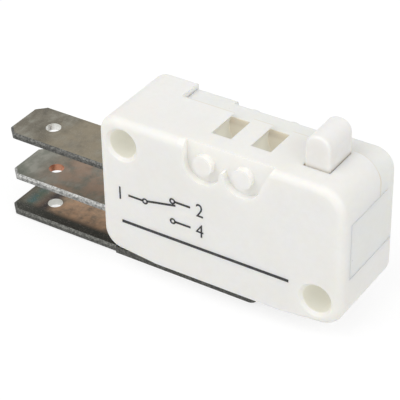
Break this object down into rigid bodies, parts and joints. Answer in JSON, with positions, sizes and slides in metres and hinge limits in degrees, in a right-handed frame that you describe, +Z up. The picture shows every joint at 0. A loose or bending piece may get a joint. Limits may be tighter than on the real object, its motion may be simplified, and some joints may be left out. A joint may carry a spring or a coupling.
{
  "type": "micro switch",
  "caption": "Snap-action changeover micro switch with a top plunger, two mounting holes and three push-on tabs.",
  "frame": {"origin": "axis of the lower mounting hole, at the middle of the switch's depth", "axes": "+X from the tabs to the plunger end, +Y from the front face to the cover, along the mounting holes, +Z up, out of the plunger"},
  "size_m": [0.0421, 0.0104, 0.0217],
  "materials": {
    "housing": "off-white moulded thermoplastic, fine satin",
    "plunger": "off-white moulded acetal, slightly translucent",
    "terminal": "tin-plated brass, tarnished brown and green",
    "contact": "silver alloy rivet, bright",
    "arm": "bare copper alloy strip",
    "lever": "black moulded acetal",
    "steel": "bright spring steel"
  },
  "bodies": {
    "housing": {"case": "housing", "cover": "housing", "normally_closed_terminal": "terminal", "normally_open_terminal": "terminal", "common_terminal": "terminal", "normally_closed_contact": "contact", "normally_open_contact": "contact", "lever_pin": "steel"},
    "plunger": {"plunger": "plunger"},
    "trip_lever": {"trip_lever": "lever"},
    "contact_arm": {"contact_arm": "arm", "moving_contact": "contact", "tension_spring": "steel"}
  },
  "joints": [
    {"name": "plunger_press", "type": "slide", "parent": "housing", "child": "plunger", "axis": [0, 0, -1], "range_m": [0, 0.0022], "stiffness_N_per_m": 450, "springref_m": -0.003},
    {"name": "trip_lever_tilt", "type": "hinge", "parent": "housing", "child": "trip_lever", "pos_m": [-0.0115, 0, 0.0003], "axis": [0, 1, 0], "range_deg": [0, 12.84]},
    {"name": "contact_arm_swing", "type": "hinge", "parent": "housing", "child": "contact_arm", "pos_m": [-0.0079, 0, 0.003], "axis": [0, -1, 0], "range_deg": [0, 4.74], "deforming": ["tension_spring"]}
  ],
  "couplings": [
    {"joint": "trip_lever_tilt", "follows": "plunger_press", "rad_per_m": 101.78},
    {"joint": "contact_arm_swing", "follows": "plunger_press", "rad_per_m": 37.55}
  ]
}
